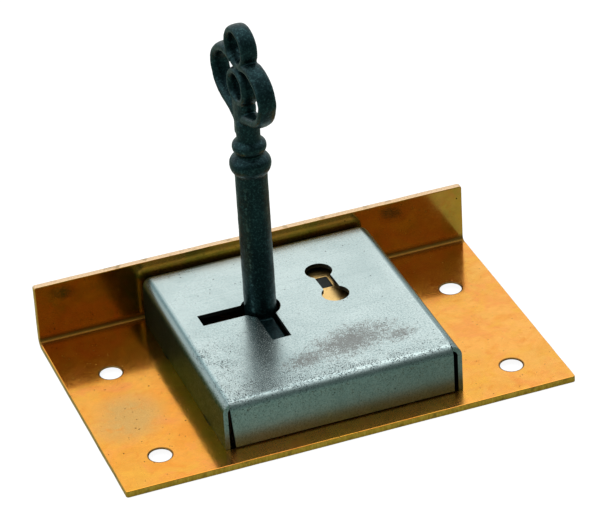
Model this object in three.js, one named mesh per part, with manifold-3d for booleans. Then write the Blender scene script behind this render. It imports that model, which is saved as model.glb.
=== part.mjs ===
// Cut drawer lock with a folded brass back plate, a steel cap, four pivoted levers and a pipe key.
// Millimetres, +Z up. Origin: centre of the back plate's underside. +X (right) runs along the
// plate's long side, +Y (back) points to the selvedge, the direction in which the bolt is thrown.
import * as THREE from "three";
import { mergeVertices } from "three/addons/utils/BufferGeometryUtils.js";
import Module from "manifold-3d";

const wasm = await Module();
wasm.setup();

// ---------------------------------------------------------------- driving dimensions
// back plate
const PLATE_LENGTH = 76.2, PLATE_WIDTH = 47.65, SHEET = 1.15;
const PLATE_BACK = PLATE_WIDTH / 2;
const SELVEDGE_HEIGHT = 10.58; // above the plate's upper face
const SELVEDGE_INSIDE = PLATE_BACK - SHEET;
const FOLD_INSIDE = 0.4, FOLD_OUTSIDE = 1.3;
const SEAT_DEPTH = 0.05, SEAT_MARGIN = 0.15; // pressed seat under and behind the cap
const SEAT = SHEET - SEAT_DEPTH;
const SCREW_X = 30.05, SCREW_Y = [-16.45, 9.05];
const SCREW_HOLE_R = 2.0, COUNTERSINK_R = 3.5, COUNTERSINK_TOP = 0.9;
const HOLE_GAP = 0.03, LUG_GAP = 0.06; // play round tenons and lugs

// cap; CAP_SEAT is the lower edge of its walls
const CAP_X = 20.22, CAP_FRONT = -19.95, CAP_BACK = 22.37, CAP_TOP = 9.65, CAP_SHEET = 0.75;
const CAP_BEND = 1.85, CAP_FRONT_BEND = 1.6, CAP_SEAT = 1.2;
const CAP_INSIDE_X = CAP_X - CAP_SHEET, CAP_INSIDE_FRONT = CAP_FRONT + CAP_SHEET;
const CAP_INSIDE_BACK = CAP_BACK - CAP_SHEET, CAP_INSIDE_TOP = CAP_TOP - CAP_SHEET;
const FLAP_LEFT = -18.75, FLAP_RIGHT = 18.4, FLAP_FOOT = 1.42; // front flap: ends and lower edge
const CORNER_SLIT = 0.72, LUG_Y = 10.5, LUG_LENGTH = 3.0;

// keyhole and sight hole in the cap
const KEY_X = -5.04, KEY_Y = 4.8; // the key's turning axis
const KEYHOLE_R = 3.3, KEYHOLE_SLOT = 3.25;
const KEYHOLE_REACH_FRONT = 10.2, KEYHOLE_REACH_LEFT = 10.41;
const SIGHT_X = 7.45, SIGHT_Y = [3.3, 10.9], SIGHT_R = 2.3, SIGHT_NECK = 2.8;

// posts riveted into the plate; tenon is the radius of the riveted end
const DRILL_PIN = { x: KEY_X, y: KEY_Y, radius: 1.3, tenon: 1.0 };
const PIVOT = { x: 13.5, y: -13.5, radius: 1.5, tenon: 1.1 };
const GUIDE = { x: 16.4, y: 5.2, radius: 1.5, tenon: 1.1 };
const STOP = { x: 8.1, y: -8.4, radius: 1.0, tenon: 0.75 };
const DRILL_PIN_TOP = 8.8, BORE_GAP = 0.08;
const POST_SHOULDER = SEAT + 0.02, COLLAR_FOOT = SEAT + 0.03, POST_TOP = CAP_INSIDE_TOP - 0.05;

// levers: lift in degrees, clockwise seen from above; stepTop is the top of the key's step
const LEVER_THICK = 0.75, LEVER_BASE = 1.45, LEVER_PITCH = 0.9;
const LEVERS = [
  { lift: 6.2, stepTop: 2.275 },
  { lift: 4.8, stepTop: 3.175 },
  { lift: 4.0, stepTop: 4.075 },
  { lift: 5.4, stepTop: 4.98 },
];
const LEVER_PACK_TOP = LEVER_BASE + (LEVERS.length - 1) * LEVER_PITCH + LEVER_THICK;
const BOSS_R = 3.6, LEVER_BACK = 18.0, LEVER_RIGHT = 11.0, LEVER_CHAMFER = 0.8;
const BELLY_X = 2.78; // left edge of every lever where the bit lifts it
const BELLY_RELIEF = 0.4, BELLY_GAP = 0.1;
const TRAP_Y = [11.7, 12.7], TRAP_GAP = 0.15, GATE_GAP = 0.12;
const WINDOW_Y = [8.4, 16.5], WINDOW_RIGHT = 9.0, WINDOW_GAP = 0.45;
const SPRING_THICK = 0.25, SPRING_INSET = 0.07;
const SPRING_SLIT = 0.36, SLIT_REACH = 1.2, SLIT_OVERRUN = 0.06; // reach is beyond the boss

// bolt and stump; stump sizes are [x, y]
const KEY_TURN = 130; // degrees from the inserted key to the end of the throw
const BOLT_THROW = 5.5, BOLT_FLOOR = 5.1, BOLT_ROOF = 8.05, BOLT_HEAD_X = 7.0;
const BOLT_SLOT_PLAY = 0.12, STUMP_FOOT = 1.35;
const STUMP_X = 7.6, STUMP_Y = 9.6, STUMP_HEAD = [2.4, 3.2], STUMP_SHANK = [2.2, 1.4];

// key
const KEY_FOOT = 1.45, BIT_TOP = 8.6, BIT_THICK = 2.4, BIT_REACH = 9.8, BIT_ROOT = 2.0;
const SHANK_R = 2.65, KEY_BORE_R = 1.4, KEY_BORE_TOP = 12.6;
const BOW_ANGLE = 6, BOW_SHIFT = -0.8, BOW_THICK = 3.5, BOW_ROUND = 0.4;
const BOW_LEAN = 2.5, BOW_LEAN_HEIGHT = 48;

const FINISH = {
  plate: { color: 0xe0a94f, roughness: 0.18, metalness: 1 },
  cap: { color: 0xc4cfce, roughness: 0.38, metalness: 1 },
  post: { color: 0x9aa3a3, roughness: 0.35, metalness: 1 },
  dullSteel: { color: 0x9aa3a3, roughness: 0.4, metalness: 1 },
  collar: { color: 0xd9a650, roughness: 0.35, metalness: 1 },
  bolt: { color: 0xd9a650, roughness: 0.3, metalness: 1 },
  lever: { color: 0xd9a650, roughness: 0.32, metalness: 1 },
  spring: { color: 0x8f9594, roughness: 0.3, metalness: 1 },
  key: { color: 0x26302f, roughness: 0.55, metalness: 0.6 },
};

// ---------------------------------------------------------------- outlines in a plane
const radians = (degrees) => (degrees * Math.PI) / 180;

const circle = (x, y, radius, segments = 28) =>
  Array.from({ length: segments }, (_, i) => {
    const angle = (2 * Math.PI * i) / segments;
    return [x + radius * Math.cos(angle), y + radius * Math.sin(angle)];
  });

const arc = (x, y, radius, from, to, segments) =>
  Array.from({ length: segments + 1 }, (_, i) => {
    const angle = radians(from + ((to - from) * i) / segments);
    return [x + radius * Math.cos(angle), y + radius * Math.sin(angle)];
  });

function smooth(points, divisions) {
  const curve = new THREE.CatmullRomCurve3(points.map(([x, y]) => new THREE.Vector3(x, y, 0)));
  return curve.getPoints(divisions).map((p) => [p.x, p.y]);
}

// a band of constant width along a line of points
function strip(width, points) {
  const left = [], right = [];
  points.forEach(([x, y], i) => {
    const [beforeX, beforeY] = points[Math.max(i - 1, 0)];
    const [afterX, afterY] = points[Math.min(i + 1, points.length - 1)];
    const length = Math.hypot(afterX - beforeX, afterY - beforeY);
    const normalX = -(afterY - beforeY) / length, normalY = (afterX - beforeX) / length;
    left.push([x + (normalX * width) / 2, y + (normalY * width) / 2]);
    right.push([x - (normalX * width) / 2, y - (normalY * width) / 2]);
  });
  return [...right, ...left.reverse()];
}

function rotateAbout([x, y], centre, degrees) {
  const cos = Math.cos(radians(degrees)), sin = Math.sin(radians(degrees));
  const dx = x - centre.x, dy = y - centre.y;
  return [centre.x + cos * dx - sin * dy, centre.y + sin * dx + cos * dy];
}

// the two ends of a size about its centre, with a gap added at each end
const span = (centre, size, gap = 0) => [centre - size / 2 - gap, centre + size / 2 + gap];

// ---------------------------------------------------------------- solids
function solid(geometry) {
  const bare = geometry.index ? geometry.toNonIndexed() : geometry.clone();
  bare.deleteAttribute("normal");
  bare.deleteAttribute("uv");
  const merged = mergeVertices(bare, 1e-4);
  const vertProperties = merged.attributes.position.array;
  const triVerts = new Uint32Array(merged.index.array);
  const make = () => new wasm.Manifold(new wasm.Mesh({ numProp: 3, vertProperties, triVerts }));
  const body = make();
  if (body.volume() > 0) return body;
  // the faces point inwards, so turn them over
  for (let i = 0; i < triVerts.length; i += 3)
    [triVerts[i + 1], triVerts[i + 2]] = [triVerts[i + 2], triVerts[i + 1]];
  return make();
}

const cut = (body, tools) => tools.reduce((rest, tool) => rest.subtract(tool), body);

function toShape(points, holes = []) {
  const vectors = (outline) => outline.map(([x, y]) => new THREE.Vector2(x, y));
  const shape = new THREE.Shape(vectors(points));
  holes.forEach((hole) => shape.holes.push(new THREE.Path(vectors(hole))));
  return shape;
}

const extrude = (shape, depth) =>
  new THREE.ExtrudeGeometry(shape, { depth, bevelEnabled: false, steps: 1 });

// an upright prism between two heights; outline and holes run anticlockwise
function prism(points, bottom, top, holes = []) {
  const shape = toShape(points, holes.map((hole) => [...hole].reverse()));
  return solid(extrude(shape, top - bottom).translate(0, 0, bottom));
}

// a prism lying along X over an outline drawn in Y and Z
function along(points, x0, x1) {
  const basis = new THREE.Matrix4().makeBasis(
    new THREE.Vector3(0, 1, 0), new THREE.Vector3(0, 0, 1), new THREE.Vector3(1, 0, 0));
  return solid(extrude(toShape(points), x1 - x0).applyMatrix4(basis).translate(x0, 0, 0));
}

const block = ([x0, x1], [y0, y1], [z0, z1]) =>
  solid(new THREE.BoxGeometry(x1 - x0, y1 - y0, z1 - z0)
    .translate((x0 + x1) / 2, (y0 + y1) / 2, (z0 + z1) / 2));

// a turned piece: [radius, height] pairs, starting and ending on its upright axis
function turned(profile, x, y, segments = 28) {
  const points = profile.map(([radius, z]) => new THREE.Vector2(radius, z));
  return solid(new THREE.LatheGeometry(points, segments).rotateX(Math.PI / 2).translate(x, y, 0));
}

// ---------------------------------------------------------------- back plate with its selvedge
function backPlate() {
  const selvedgeTop = SHEET + SELVEDGE_HEIGHT;
  const profile = [
    [-PLATE_BACK, 0],
    ...arc(PLATE_BACK - FOLD_OUTSIDE, FOLD_OUTSIDE, FOLD_OUTSIDE, -90, 0, 6),
    [PLATE_BACK, selvedgeTop],
    [SELVEDGE_INSIDE, selvedgeTop],
    ...arc(SELVEDGE_INSIDE - FOLD_INSIDE, SHEET + FOLD_INSIDE, FOLD_INSIDE, 0, -90, 4),
    [-PLATE_BACK, SHEET],
  ];
  // screw holes, countersunk from the underside
  const screwHole = [
    [0, -0.2], [COUNTERSINK_R + 0.3, -0.2], [SCREW_HOLE_R, COUNTERSINK_TOP], [SCREW_HOLE_R, 2], [0, 2],
  ];
  const cuts = [];
  for (const x of [-SCREW_X, SCREW_X])
    for (const y of SCREW_Y) cuts.push(turned(screwHole, x, y, 32));

  // pressed seat in the plate and up the inside of the selvedge
  const seatSpan = span(0, 2 * CAP_X, SEAT_MARGIN);
  cuts.push(
    block(seatSpan, [CAP_FRONT - SEAT_MARGIN, CAP_BACK + SEAT_MARGIN], [SEAT, 3]),
    block(seatSpan, [SELVEDGE_INSIDE - 0.5, SELVEDGE_INSIDE + SEAT_DEPTH],
      [SEAT, CAP_TOP + SEAT_MARGIN]),
    // opening for the bolt
    block(span(0, 2 * BOLT_HEAD_X, 0.15), [SELVEDGE_INSIDE - 1, PLATE_BACK + 1],
      [BOLT_FLOOR - 0.15, BOLT_ROOF + 0.15]));

  const lugX = CAP_X - CAP_SHEET / 2;
  for (const x of [-lugX, lugX])
    for (const y of [-LUG_Y, LUG_Y])
      cuts.push(block(span(x, CAP_SHEET, LUG_GAP), span(y, LUG_LENGTH, LUG_GAP), [-1, 2]));
  for (const { x, y, tenon } of [DRILL_PIN, PIVOT, GUIDE, STOP])
    cuts.push(prism(circle(x, y, tenon + HOLE_GAP), -1, 2));
  return cut(along(profile, -PLATE_LENGTH / 2, PLATE_LENGTH / 2), cuts);
}

// ---------------------------------------------------------------- cap
// The cap's outer form, or its hollow when inset. The front flap is folded over its own radius;
// beyond the flap's ends the form is open at the front and ends at endY.
function dome(inset, endY) {
  const x = CAP_X - inset, top = CAP_TOP - inset;
  const front = CAP_FRONT + inset, back = CAP_BACK - inset;
  const bend = CAP_BEND - inset, frontBend = CAP_FRONT_BEND - inset;
  const foot = inset ? CAP_SEAT - 1 : CAP_SEAT; // the hollow runs out below the walls
  const acrossX = [
    [-x, foot], [x, foot],
    ...arc(x - bend, top - bend, bend, 0, 90, 6),
    ...arc(-x + bend, top - bend, bend, 90, 180, 6),
  ];
  const backBend = arc(back - bend, top - bend, bend, 0, 90, 6);
  const withFlap = [
    [front, foot], [back, foot], ...backBend,
    ...arc(front + frontBend, top - frontBend, frontBend, 90, 180, 5),
  ];
  const openFront = [[endY, foot], [back, foot], ...backBend, [endY, top]];
  const lengthwise = extrude(toShape(acrossX), back - front + 6)
    .rotateX(Math.PI / 2)
    .translate(0, back + 1, 0);
  const crosswise = along(withFlap, FLAP_LEFT, FLAP_RIGHT)
    .add(along(openFront, -x - 1, FLAP_LEFT))
    .add(along(openFront, FLAP_RIGHT, x + 1));
  return solid(lengthwise).intersect(crosswise);
}

// one folded sheet, riveted through the plate by four lugs
function capBody() {
  const cuts = [], lugs = [];
  for (const side of [-1, 1]) {
    const onSide = (near, far) => (side < 0 ? [-far, -near] : [near, far]);
    const slitX = CAP_INSIDE_X - CORNER_SLIT;
    // the open corners at the back
    cuts.push(
      block(onSide(slitX, CAP_X + 1), [CAP_INSIDE_BACK + 0.13, CAP_BACK + 1],
        [0, CAP_INSIDE_TOP - 0.8]),
      block(onSide(slitX, CAP_INSIDE_X), [CAP_INSIDE_BACK - 0.1, CAP_BACK + 1],
        [0, CAP_INSIDE_TOP - 0.6]));
    for (const y of [-LUG_Y, LUG_Y])
      lugs.push(block(onSide(CAP_INSIDE_X, CAP_X), span(y, LUG_LENGTH), [0, CAP_SEAT + 0.5]));
  }
  cuts.push(
    // lower edge of the front flap
    block([FLAP_LEFT - 0.02, FLAP_RIGHT + 0.02], [CAP_FRONT - 1, CAP_INSIDE_FRONT + 0.05],
      [0, FLAP_FOOT]),
    // opening in the back flap for the bolt
    block(span(0, 2 * BOLT_HEAD_X, 0.3), [CAP_INSIDE_BACK - 0.5, CAP_BACK + 1],
      [0, BOLT_ROOF + 0.25]));

  const through = [CAP_INSIDE_TOP - 1, CAP_TOP + 1];
  cuts.push(
    // keyhole: a round barrel hole with two bit slots, one to the front and one to the left
    prism(circle(KEY_X, KEY_Y, KEYHOLE_R, 36), ...through),
    block(span(KEY_X, KEYHOLE_SLOT), [KEY_Y - KEYHOLE_REACH_FRONT, KEY_Y], through),
    block([KEY_X - KEYHOLE_REACH_LEFT, KEY_X], span(KEY_Y, KEYHOLE_SLOT), through),
    // sight hole over the stump: two circles joined by a neck
    ...SIGHT_Y.map((y) => prism(circle(SIGHT_X, y, SIGHT_R, 32), ...through)),
    block(span(SIGHT_X, SIGHT_NECK), SIGHT_Y, through));

  const shell = dome(0, CAP_FRONT + 0.3).subtract(dome(CAP_SHEET, CAP_FRONT - 3));
  return lugs.reduce((body, lug) => body.add(lug), cut(shell, cuts));
}

// ---------------------------------------------------------------- posts and their collars
function post({ x, y, radius, tenon }, top, chamferWidth = 0.25, chamferHeight = 0.25) {
  const profile = [
    [0, 0], [tenon, 0], [tenon, POST_SHOULDER], [radius, POST_SHOULDER],
    [radius, top - chamferHeight], [radius - chamferWidth, top], [0, top],
  ];
  return turned(profile, x, y);
}

const collar = ({ x, y, radius }, outerRadius, bottom, top) =>
  prism(circle(x, y, outerRadius), bottom, top, [circle(x, y, radius + BORE_GAP)]);

// ---------------------------------------------------------------- bolt and the stump in it
function boltBody() {
  const tip = PLATE_BACK - 0.03, chamferY = PLATE_BACK - 0.25, chamferX = BOLT_HEAD_X - 0.2;
  // [x, y], anticlockwise from the front left corner of the tail
  const outline = [
    [2.3, -8.2], [10.6, -8.2], [11.2, -7.6], [11.2, -4.0], [18.4, -4.0], [18.9, -3.5],
    [18.9, 8.7], [18.4, 9.2], [11.6, 9.2], [11.2, 9.6], [11.2, 15.0], [10.8, 15.4],
    [BOLT_HEAD_X, 15.4], [BOLT_HEAD_X, chamferY], [chamferX, tip],
    [-chamferX, tip], [-BOLT_HEAD_X, chamferY], [-BOLT_HEAD_X, 15.4],
    [0.6, 15.4], [0.6, 6.65], [4.6, 6.65], [5.1, 6.15], [5.1, -4.1], [4.6, -4.6], [2.3, -4.6],
  ];
  const slotR = GUIDE.radius + BORE_GAP;
  const guideSlot = [
    ...arc(GUIDE.x, GUIDE.y + BOLT_SLOT_PLAY, slotR, 0, 180, 12),
    ...arc(GUIDE.x, GUIDE.y - BOLT_THROW - BOLT_SLOT_PLAY, slotR, 180, 360, 12),
  ];
  const stumpHole = block(span(STUMP_X, STUMP_HEAD[0], HOLE_GAP),
    span(STUMP_Y, STUMP_HEAD[1], HOLE_GAP), [BOLT_FLOOR - 1, BOLT_ROOF + 1]);
  return prism(outline, BOLT_FLOOR, BOLT_ROOF, [guideSlot]).subtract(stumpHole);
}

function boltStump() {
  const part = ([sizeX, sizeY], heights) =>
    block(span(STUMP_X, sizeX), span(STUMP_Y, sizeY), heights);
  return part(STUMP_HEAD, [BOLT_FLOOR, BOLT_ROOF - 0.05])
    .add(part(STUMP_SHANK, [STUMP_FOOT, BOLT_FLOOR + 0.5]));
}

// ---------------------------------------------------------------- levers and their springs
// radius of the bit step that lifts a belly at BELLY_X by this lever's angle
const stepReach = (lift) =>
  Math.min(BIT_REACH, BELLY_X - KEY_X + Math.tan(radians(lift)) * (KEY_Y - PIVOT.y));

// right-hand extent of the bit step, as the lever sees it through the whole turn, at each y
function bitEnvelope(lift) {
  const reach = stepReach(lift);
  const seen = [];
  const see = (side, radius, t) => {
    const turnedPoint = rotateAbout([KEY_X + side, KEY_Y - radius], DRILL_PIN, KEY_TURN * t);
    seen.push(rotateAbout(turnedPoint, PIVOT, lift * t));
  };
  for (let i = 0; i <= 260; i++) {
    const t = i / 260;
    for (let j = 0; j <= 12; j++) see((j / 12 - 0.5) * BIT_THICK, reach, t);
    for (const side of [-BIT_THICK / 2, BIT_THICK / 2]) see(side, reach * 0.85, t);
  }
  return (y) => Math.max(...seen.filter((p) => Math.abs(p[1] - y) < 0.35).map(([x]) => x));
}

// the stump's path through the lever's window, as the lever sees it
function stumpPath(lift) {
  const [sizeX, sizeY] = STUMP_SHANK;
  const seen = [];
  for (let i = 0; i <= 120; i++) {
    const t = i / 120;
    for (let a = -4; a <= 4; a++)
      for (const b of [-1, -0.5, 0, 0.5, 1]) {
        const x = STUMP_X + ((a / 4) * sizeX) / 2;
        const y = STUMP_Y + BOLT_THROW * t + (b * sizeY) / 2;
        seen.push(rotateAbout([x, y], PIVOT, lift * t));
      }
  }
  return seen;
}

// left edge of a lever, from back to front, clear of the turning bit
function leverBelly(lift) {
  const envelope = bitEnvelope(lift), bellyX = BELLY_X - BELLY_RELIEF;
  const belly = [];
  for (let y = 14; y >= -5; y -= 1) {
    const nominal = y > 10 ? 1.0 : y > -1 ? bellyX : bellyX + (-1 - y) * 0.75;
    belly.push([Math.max(nominal, envelope(y) + BELLY_GAP), y]);
  }
  return belly;
}

// two pockets parted by a trap, with a gate where the stump may pass
function leverWindow(lift) {
  const path = stumpPath(lift);
  const [front, back] = WINDOW_Y, [trapFront, trapBack] = TRAP_Y;
  const inTrap = path
    .filter(([, y]) => y > trapFront - TRAP_GAP && y < trapBack + TRAP_GAP)
    .map(([x]) => x);
  const gateLeft = Math.min(...inTrap) - GATE_GAP, gateRight = Math.max(...inTrap) + GATE_GAP;
  const left = Math.min(...path.map(([x]) => x)) - WINDOW_GAP;
  return [
    [left, front], [WINDOW_RIGHT, front], [WINDOW_RIGHT, trapFront], [gateRight, trapFront],
    [gateRight, trapBack], [WINDOW_RIGHT, trapBack], [WINDOW_RIGHT, back], [left, back],
    [left, trapBack], [gateLeft, trapBack], [gateLeft, trapFront], [left, trapFront],
  ];
}

// [x, y] along the spring's centre line, from its root in the boss
const SPRING_LINE = [
  [15.2, -11.9], [16.1, -10.35], [17.15, -8.5], [18.2, -6.2], [18.95, -3.6], [19.2, -1.4], [19.0, 0.4],
];

// outline of the slit that holds the spring's root, run on a little past the spring's end
function springSlit() {
  const root = smooth(SPRING_LINE, 60)
    .filter(([x, y]) => Math.hypot(x - PIVOT.x, y - PIVOT.y) < BOSS_R + SLIT_REACH);
  const [[x, y], [nextX, nextY]] = root;
  const scale = SLIT_OVERRUN / Math.hypot(nextX - x, nextY - y);
  return strip(SPRING_SLIT, [[x - (nextX - x) * scale, y - (nextY - y) * scale], ...root]);
}

function lever(lift, floor) {
  const stopX = STOP.x + STOP.radius + 0.12, chamferY = LEVER_BACK - LEVER_CHAMFER;
  const outline = [
    ...arc(PIVOT.x, PIVOT.y, BOSS_R, 170, 400, 16),
    [LEVER_RIGHT + 0.9, -6.5], [LEVER_RIGHT, -3.5],
    [LEVER_RIGHT, chamferY], [LEVER_RIGHT - LEVER_CHAMFER, LEVER_BACK],
    [2.2, LEVER_BACK], [1.4, chamferY],
    ...leverBelly(lift),
    [stopX, STOP.y + 0.9], [stopX, STOP.y - 1.1],
  ];
  const bore = circle(PIVOT.x, PIVOT.y, PIVOT.radius + BORE_GAP);
  const top = floor + LEVER_THICK;
  return prism(outline, floor, top, [leverWindow(lift), bore])
    .subtract(prism(springSlit(), floor - 1, top + 1));
}

const leverSpring = (floor) =>
  prism(strip(SPRING_THICK, smooth(SPRING_LINE, 18)),
    floor + SPRING_INSET, floor + LEVER_THICK - SPRING_INSET);

// ---------------------------------------------------------------- pipe key
// [radius, z]: up the bore, out at the foot, up the shank and over its mouldings
const KEY_PROFILE = [
  [0, KEY_BORE_TOP + 0.6], [KEY_BORE_R, KEY_BORE_TOP], [KEY_BORE_R, KEY_FOOT],
  [SHANK_R - 0.2, KEY_FOOT], [SHANK_R, KEY_FOOT + 0.2], [SHANK_R - 0.02, 34.9],
  [3.05, 35.35], [3.32, 36.0], [3.42, 36.8], [3.3, 37.6], [2.95, 38.15], [2.5, 38.5],
  [2.45, 38.8], [2.62, 39.1], [2.78, 39.55], [2.82, 40.1], [2.7, 40.7], [2.35, 41.2],
  [2.0, 41.5], [1.95, 42.1], [1.95, 44.6], [0, 45.3],
];
// Bow outlines are [across, height above the plate's upper face], in the bow's own plane.
const BOW_SIDE = [
  [1.95, 41.6], [2.05, 43.0], [2.65, 43.8], [4.2, 44.5], [5.9, 45.1], [7.2, 46.0], [8.4, 47.4],
  [9.2, 49.2], [9.25, 50.6], [8.45, 52.4], [6.8, 53.95], [4.9, 54.75], [3.95, 54.8],
];
const BOW_SIDE_HOLE = [
  [2.6, 52.75], [3.75, 53.3], [5.6, 53.0], [7.2, 51.6], [7.9, 49.9],
  [7.45, 48.15], [6.2, 46.85], [4.6, 46.15], [3.4, 46.05], [2.75, 46.6],
];

// leans the bow a little in its own plane, so that the loop towards -Y hangs lower, and
// lifts it onto the plate's upper face; the lean sets in gradually above the shank
function leanBow([across, height]) {
  const t = Math.min(1, Math.max(0, (height - 42.5) / 3));
  const angle = -radians(BOW_LEAN) * t * t * (3 - 2 * t);
  const cos = Math.cos(angle), sin = Math.sin(angle), rise = height - BOW_LEAN_HEIGHT;
  return [across * cos - rise * sin, BOW_LEAN_HEIGHT + across * sin + rise * cos + SHEET];
}

// a top ring, two side loops and a small ring between them
function keyBow() {
  const mirror = (points) => points.map(([across, height]) => [-across, height]).reverse();
  const side = smooth(BOW_SIDE, 26);
  const outline = [...side, ...arc(0, 56.3, 3.6, -20, 200, 18), ...mirror(side)];
  const sideHole = [...smooth(BOW_SIDE_HOLE, 22), ...arc(0, 49.5, 3.3, -44, 44, 8)];
  const holes = [circle(0, 56.25, 2.35), circle(0, 49.5, 2.0, 24), sideHole, mirror(sideHole)];
  const shape = toShape(outline.map(leanBow), holes.map((hole) => hole.map(leanBow)));
  const geometry = new THREE.ExtrudeGeometry(shape, {
    depth: BOW_THICK - 2 * BOW_ROUND,
    bevelEnabled: true,
    bevelThickness: BOW_ROUND,
    bevelSize: BOW_ROUND,
    bevelOffset: -BOW_ROUND,
    bevelSegments: 2,
    steps: 1,
  });
  geometry.translate(BOW_SHIFT, 0, -BOW_THICK / 2 + BOW_ROUND);
  const angle = radians(BOW_ANGLE);
  const across = new THREE.Vector3(Math.sin(angle), -Math.cos(angle), 0);
  const up = new THREE.Vector3(0, 0, 1);
  const normal = new THREE.Vector3().crossVectors(across, up);
  geometry.applyMatrix4(new THREE.Matrix4().makeBasis(across, up, normal));
  return solid(geometry.translate(KEY_X, KEY_Y, 0));
}

function pipeKey() {
  let key = turned(KEY_PROFILE, KEY_X, KEY_Y, 32);
  // bit: one step for each lever and one above them for the bolt
  const steps = LEVERS.map(({ lift, stepTop }) => ({ reach: stepReach(lift), top: stepTop }));
  steps.push({ reach: BIT_REACH, top: BIT_TOP });
  let floor = KEY_FOOT;
  for (const { reach, top } of steps) {
    key = key.add(block(span(KEY_X, BIT_THICK), [KEY_Y - reach, KEY_Y - BIT_ROOT], [floor, top]));
    floor = top;
  }
  return key.add(keyBow());
}

// ---------------------------------------------------------------- assembly
const group = new THREE.Group();

function addPiece(name, body, finish) {
  const { numVert, numProp, vertProperties, triVerts } = body.getMesh();
  const positions = new Float32Array(numVert * 3);
  for (let i = 0; i < numVert; i++)
    positions.set(vertProperties.subarray(i * numProp, i * numProp + 3), i * 3);
  const geometry = new THREE.BufferGeometry();
  geometry.setAttribute("position", new THREE.BufferAttribute(positions, 3));
  geometry.setIndex(new THREE.BufferAttribute(new Uint32Array(triVerts), 1));
  geometry.computeVertexNormals();
  const mesh = new THREE.Mesh(geometry, new THREE.MeshStandardMaterial(finish));
  mesh.name = name;
  group.add(mesh);
}

addPiece("back_plate", backPlate(), FINISH.plate);
addPiece("cap", capBody(), FINISH.cap);
addPiece("drill_pin", post(DRILL_PIN, DRILL_PIN_TOP, 0.4, 0.6), FINISH.post);
addPiece("lever_pivot_post", post(PIVOT, POST_TOP), FINISH.post);
addPiece("lever_base_washer",
  collar(PIVOT, 2.9, COLLAR_FOOT, LEVER_BASE - 0.04), FINISH.dullSteel);
addPiece("lever_pack_spacer",
  collar(PIVOT, 2.5, LEVER_PACK_TOP + 0.06, CAP_INSIDE_TOP - 0.1), FINISH.collar);
addPiece("bolt_guide_post", post(GUIDE, POST_TOP), FINISH.post);
addPiece("bolt_rest_collar", collar(GUIDE, 2.0, COLLAR_FOOT, BOLT_FLOOR - 0.06), FINISH.collar);
addPiece("lever_stop_pin", post(STOP, BOLT_FLOOR - 0.15), FINISH.post);
addPiece("bolt", boltBody(), FINISH.bolt);
addPiece("bolt_stump", boltStump(), FINISH.dullSteel);
LEVERS.forEach(({ lift }, k) => {
  const floor = LEVER_BASE + k * LEVER_PITCH;
  addPiece(`lever_${k + 1}`, lever(lift, floor), FINISH.lever);
  addPiece(`lever_spring_${k + 1}`, leverSpring(floor), FINISH.spring);
});
addPiece("key", pipeKey(), FINISH.key);

export default group;
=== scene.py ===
"""The back plate lies on the XY plane, long along X, with a flange standing at its back edge (+Y).
The cap covers the works above it, its folded flap at the front (-Y), and the key stands along +Z.
Shapes are built in millimetres and stored in metres.
"""
import bpy, bmesh, math
import numpy as np
from mathutils import Vector, Matrix, noise


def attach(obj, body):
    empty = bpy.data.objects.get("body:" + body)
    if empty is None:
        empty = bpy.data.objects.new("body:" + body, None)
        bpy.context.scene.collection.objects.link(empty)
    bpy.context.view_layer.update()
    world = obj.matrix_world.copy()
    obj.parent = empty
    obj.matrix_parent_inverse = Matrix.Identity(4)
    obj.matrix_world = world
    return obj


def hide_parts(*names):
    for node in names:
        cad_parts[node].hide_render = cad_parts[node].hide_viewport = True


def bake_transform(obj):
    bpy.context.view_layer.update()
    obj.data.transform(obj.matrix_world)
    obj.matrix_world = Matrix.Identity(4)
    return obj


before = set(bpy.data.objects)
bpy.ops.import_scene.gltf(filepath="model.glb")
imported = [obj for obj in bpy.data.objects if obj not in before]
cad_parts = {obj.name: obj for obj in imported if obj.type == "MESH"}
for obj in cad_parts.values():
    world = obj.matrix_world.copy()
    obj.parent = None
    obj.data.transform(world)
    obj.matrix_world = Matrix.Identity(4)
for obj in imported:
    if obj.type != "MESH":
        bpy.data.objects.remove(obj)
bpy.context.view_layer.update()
MM = 0.001
scene = bpy.context.scene

# ---------------------------------------------------------------- shared dimensions (mm)
PLATE_LENGTH = 76.2
PLATE_Y = 23.825  # the plate reaches this far to the front and back of the origin
PLATE_T = 1.15  # sheet thickness, so also the height of the plate's upper face
SCREWS = [(x, y) for x in (-30.05, 30.05) for y in (-16.45, 9.05)]
KEY_X, KEY_Y = -5.04, 4.8

CAP_X = 20.22  # half width
CAP_FRONT, CAP_BACK, CAP_TOP = -19.95, 22.37, 9.65
CAP_SHEET = 0.75
IN_X, IN_TOP = CAP_X - CAP_SHEET, CAP_TOP - CAP_SHEET  # inner faces of the cap
IN_FRONT, IN_BACK = CAP_FRONT + CAP_SHEET, CAP_BACK - CAP_SHEET
FLAP_LEFT, FLAP_RIGHT = -19.12, 18.64  # ends of the front flap
LUGS = [(side, y) for side in (-1, 1) for y in (-10.5, 10.5)]  # cap lugs let into the plate

# object name, CAD node, x, y, radius, tenon radius, top
POSTS = [
    ("drill_pin_post", "drill_pin", KEY_X, KEY_Y, 1.3, 1.0, 8.78),
    ("pivot_post", "lever_pivot_post", 13.5, -13.5, 1.5, 1.1, 8.84),
    ("guide_post", "bolt_guide_post", 16.4, 5.2, 1.5, 1.1, 8.84),
    ("stop_pin", "lever_stop_pin", 8.1, -8.4, 1.0, 0.75, 4.94),
]
TENON_GAP = 0.03


# ---------------------------------------------------------------- outlines
def circle(x, y, r, n):
    angles = [2 * math.pi * i / n for i in range(n)]
    return [(x + r * math.cos(a), y + r * math.sin(a)) for a in angles]


def arc(x, y, r, start, end, n):
    """Points of an arc in n steps; angles in degrees."""
    angles = [math.radians(start + (end - start) * i / n) for i in range(n + 1)]
    return [(x + r * math.cos(a), y + r * math.sin(a)) for a in angles]


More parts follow.
